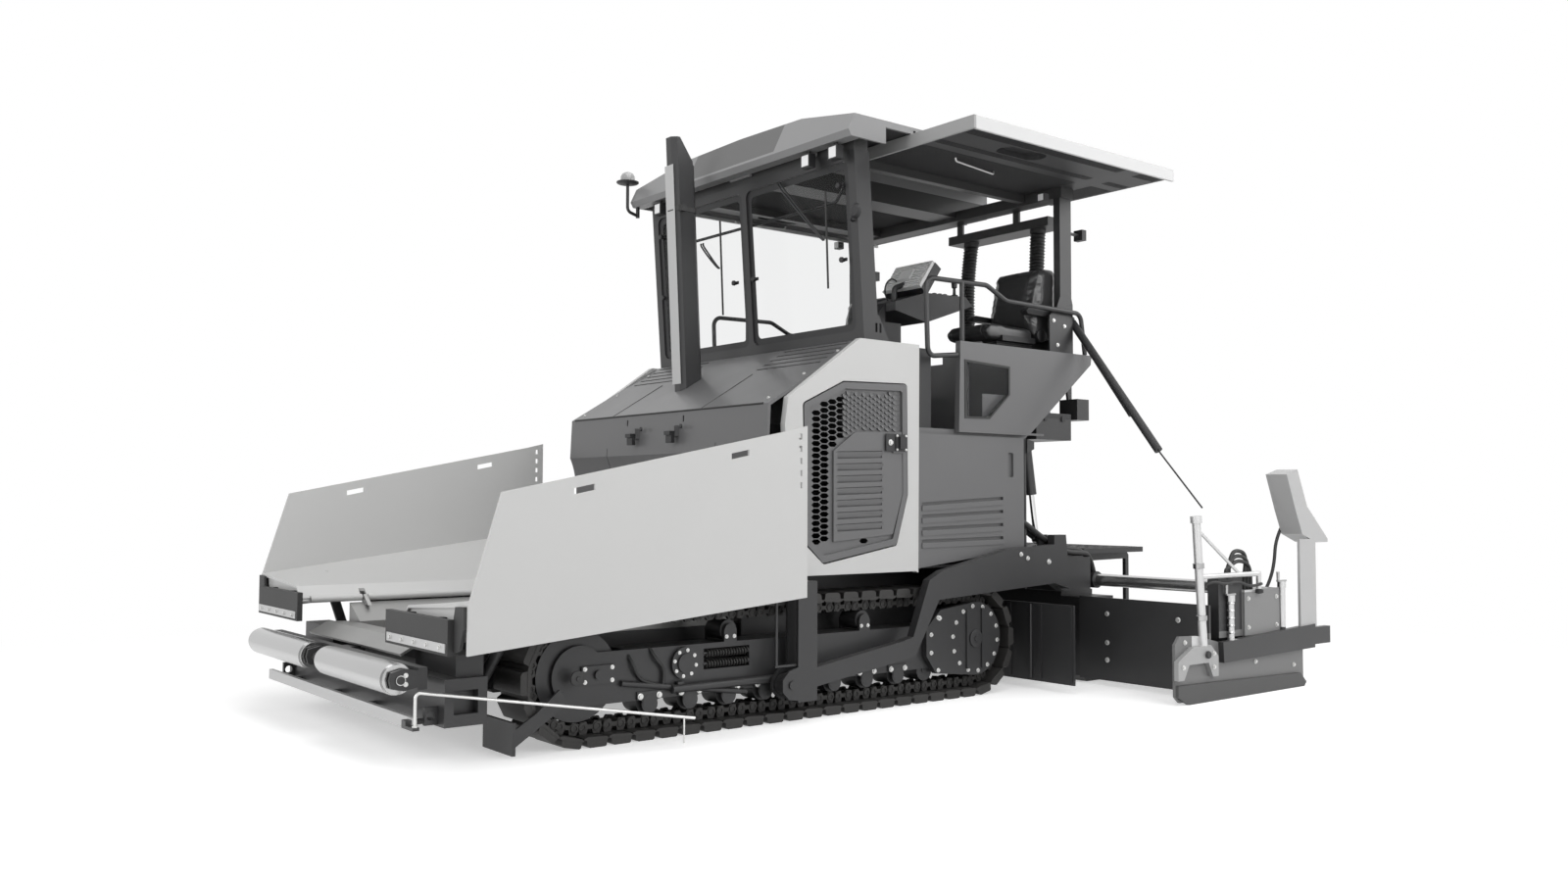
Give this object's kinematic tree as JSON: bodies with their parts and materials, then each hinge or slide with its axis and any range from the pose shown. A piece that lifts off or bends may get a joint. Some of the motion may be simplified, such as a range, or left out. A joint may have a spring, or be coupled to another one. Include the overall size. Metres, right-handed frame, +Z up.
{
  "type": "tracked asphalt paver",
  "caption": "Tracked asphalt paver with folding hopper wings, push rollers, canopied platform with seats, lifting tow arms, augers and an extending screed.",
  "frame": {"origin": "on the ground under the centre of the machine's bounding box", "axes": "+X the direction of travel, +Y the machine's left, +Z up"},
  "size_m": [6.74, 4.7358, 3.92],
  "materials": {
    "body_grey": "satin",
    "dark_grey": "satin",
    "chassis_black": "satin",
    "matte_black": "matte",
    "track_steel": "worn",
    "engine_iron": "rough",
    "roller_steel": "turned",
    "bright_steel": "galvanised",
    "rod_chrome": "polished",
    "rubber_black": "matte",
    "seat_cloth": "matte",
    "clear_glass": "polished"
  },
  "bodies": {
    "machine": {"tracks": "track_steel", "track_frames": "chassis_black", "track_wheels": "chassis_black", "final_drives": "chassis_black", "chassis": "chassis_black", "hull_rails": "chassis_black", "hull_sides": "chassis_black", "deck": "chassis_black", "rear_wall": "chassis_black", "lift_ears": "chassis_black", "auger_case": "chassis_black", "mix_shields": "chassis_black", "front_beam": "chassis_black", "hopper_floor": "body_grey", "hopper_rear_wall": "dark_grey", "conveyors": "track_steel", "engine": "engine_iron", "hood": "dark_grey", "side_frames": "body_grey", "rear_panels": "dark_grey", "exhaust": "chassis_black", "platform": "dark_grey", "handrails": "chassis_black", "console": "matte_black", "seat_frames": "matte_black", "seat_pads": "seat_cloth", "screen_frame": "chassis_black", "glazing": "clear_glass", "rear_posts": "chassis_black", "roof": "body_grey", "air_ducts": "matte_black", "lamps": "matte_black", "rear_fittings": "matte_black", "tow_columns": "chassis_black", "screed_stays": "bright_steel"},
    "wing_left": {"hopper_wing_left": "body_grey", "wing_flap_left": "rubber_black"},
    "wing_barrel_left": {"wing_barrel_left": "chassis_black"},
    "wing_rod_left": {"wing_rod_left": "rod_chrome"},
    "push_roller_left": {"push_roller_left": "roller_steel"},
    "engine_door_left": {"engine_door_left": "dark_grey"},
    "canopy_wing_left": {"canopy_wing_left": "matte_black"},
    "screed_extension_left": {"screed_extension_left": "chassis_black"},
    "auger_left": {"auger_left": "engine_iron"},
    "wing_right": {"hopper_wing_right": "body_grey", "wing_flap_right": "rubber_black"},
    "wing_barrel_right": {"wing_barrel_right": "chassis_black"},
    "wing_rod_right": {"wing_rod_right": "rod_chrome"},
    "push_roller_right": {"push_roller_right": "roller_steel"},
    "engine_door_right": {"engine_door_right": "dark_grey"},
    "canopy_wing_right": {"canopy_wing_right": "matte_black"},
    "screed_extension_right": {"screed_extension_right": "chassis_black"},
    "auger_right": {"auger_right": "engine_iron"},
    "push_beam": {"push_beam": "chassis_black"},
    "guide_rod": {"guide_rod": "bright_steel"},
    "screed": {"tow_arms": "dark_grey", "main_screed": "chassis_black", "screed_walkway": "bright_steel"},
    "lift_barrels": {"lift_barrels": "chassis_black"},
    "lift_rods": {"lift_rods": "rod_chrome"}
  },
  "joints": [
    {"name": "wing_fold_left", "type": "hinge", "parent": "machine", "child": "wing_left", "pos_m": [2.1, 0.8, 0.705], "axis": [1, 0, 0], "range_deg": [0, 62]},
    {"name": "wing_ram_left", "type": "hinge", "parent": "machine", "child": "wing_barrel_left", "pos_m": [2.775, 0.95, 0.35], "axis": [1, 0, 0], "range_deg": [-0.1, 41.72]},
    {"name": "wing_stroke_left", "type": "slide", "parent": "wing_barrel_left", "child": "wing_rod_left", "axis": [0, 0.7221, 0.6918], "range_m": [-0.001, 0.30224]},
    {"name": "wing_fold_right", "type": "hinge", "parent": "machine", "child": "wing_right", "pos_m": [2.1, -0.8, 0.705], "axis": [-1, 0, 0], "range_deg": [0, 62]},
    {"name": "wing_ram_right", "type": "hinge", "parent": "machine", "child": "wing_barrel_right", "pos_m": [2.775, -0.95, 0.35], "axis": [-1, 0, 0], "range_deg": [-0.1, 41.72]},
    {"name": "wing_stroke_right", "type": "slide", "parent": "wing_barrel_right", "child": "wing_rod_right", "axis": [0, -0.7221, 0.6918], "range_m": [-0.001, 0.30224]},
    {"name": "push_beam_swing", "type": "hinge", "parent": "machine", "child": "push_beam", "pos_m": [3.125, 0, 0.44], "axis": [0, 0, 1], "range_deg": [-3, 3]},
    {"name": "push_roller_turn_left", "type": "hinge", "parent": "push_beam", "child": "push_roller_left", "pos_m": [3.29, 0.615, 0.44], "axis": [0, 1, 0], "continuous": true},
    {"name": "push_roller_turn_right", "type": "hinge", "parent": "push_beam", "child": "push_roller_right", "pos_m": [3.29, -0.615, 0.44], "axis": [0, 1, 0], "continuous": true},
    {"name": "guide_rod_swing", "type": "hinge", "parent": "machine", "child": "guide_rod", "pos_m": [3.242, 1.225, 0.3], "axis": [0, 0, -1], "range_deg": [0, 160]},
    {"name": "engine_door_left", "type": "hinge", "parent": "machine", "child": "engine_door_left", "pos_m": [0.828, 1.259, 1.48], "axis": [0, 0, -1], "range_deg": [0, 85]},
    {"name": "engine_door_right", "type": "hinge", "parent": "machine", "child": "engine_door_right", "pos_m": [0.828, -1.259, 1.48], "axis": [0, 0, 1], "range_deg": [0, 85]},
    {"name": "canopy_slide_left", "type": "slide", "parent": "machine", "child": "canopy_wing_left", "axis": [0, 1, 0], "range_m": [-0.57, 0]},
    {"name": "canopy_slide_right", "type": "slide", "parent": "machine", "child": "canopy_wing_right", "axis": [0, -1, 0], "range_m": [0, 0.57]},
    {"name": "screed_lift", "type": "hinge", "parent": "machine", "child": "screed", "pos_m": [0.969, 0, 0.236], "axis": [0, 1, 0], "range_deg": [0, 6.4]},
    {"name": "lift_cylinder_swing", "type": "hinge", "parent": "machine", "child": "lift_barrels", "pos_m": [-1.358, 0, 1.735], "axis": [0, 1, 0], "range_deg": [-8.78, 0.05]},
    {"name": "lift_cylinder_stroke", "type": "slide", "parent": "lift_barrels", "child": "lift_rods", "axis": [-0.1637, 0, -0.9865], "range_m": [-0.27694, 0.001]},
    {"name": "screed_extend_left", "type": "slide", "parent": "screed", "child": "screed_extension_left", "axis": [0, 1, 0], "range_m": [-0.97, 0.16]},
    {"name": "screed_extend_right", "type": "slide", "parent": "screed", "child": "screed_extension_right", "axis": [0, -1, 0], "range_m": [-0.97, 0.16]},
    {"name": "auger_turn_left", "type": "hinge", "parent": "machine", "child": "auger_left", "pos_m": [-1.58, 0.64, 0.37], "axis": [0, 1, 0], "continuous": true},
    {"name": "auger_turn_right", "type": "hinge", "parent": "machine", "child": "auger_right", "pos_m": [-1.58, -0.64, 0.37], "axis": [0, 1, 0], "continuous": true}
  ],
  "couplings": [
    {"joint": "wing_ram_left", "follows": "wing_fold_left", "ratio": 0.67132},
    {"joint": "wing_stroke_left", "follows": "wing_fold_left", "m_per_rad": 0.27839},
    {"joint": "wing_ram_right", "follows": "wing_fold_right", "ratio": 0.67132},
    {"joint": "wing_stroke_right", "follows": "wing_fold_right", "m_per_rad": 0.27839},
    {"joint": "lift_cylinder_swing", "follows": "screed_lift", "ratio": -1.3635},
    {"joint": "lift_cylinder_stroke", "follows": "screed_lift", "m_per_rad": -2.4703}
  ]
}
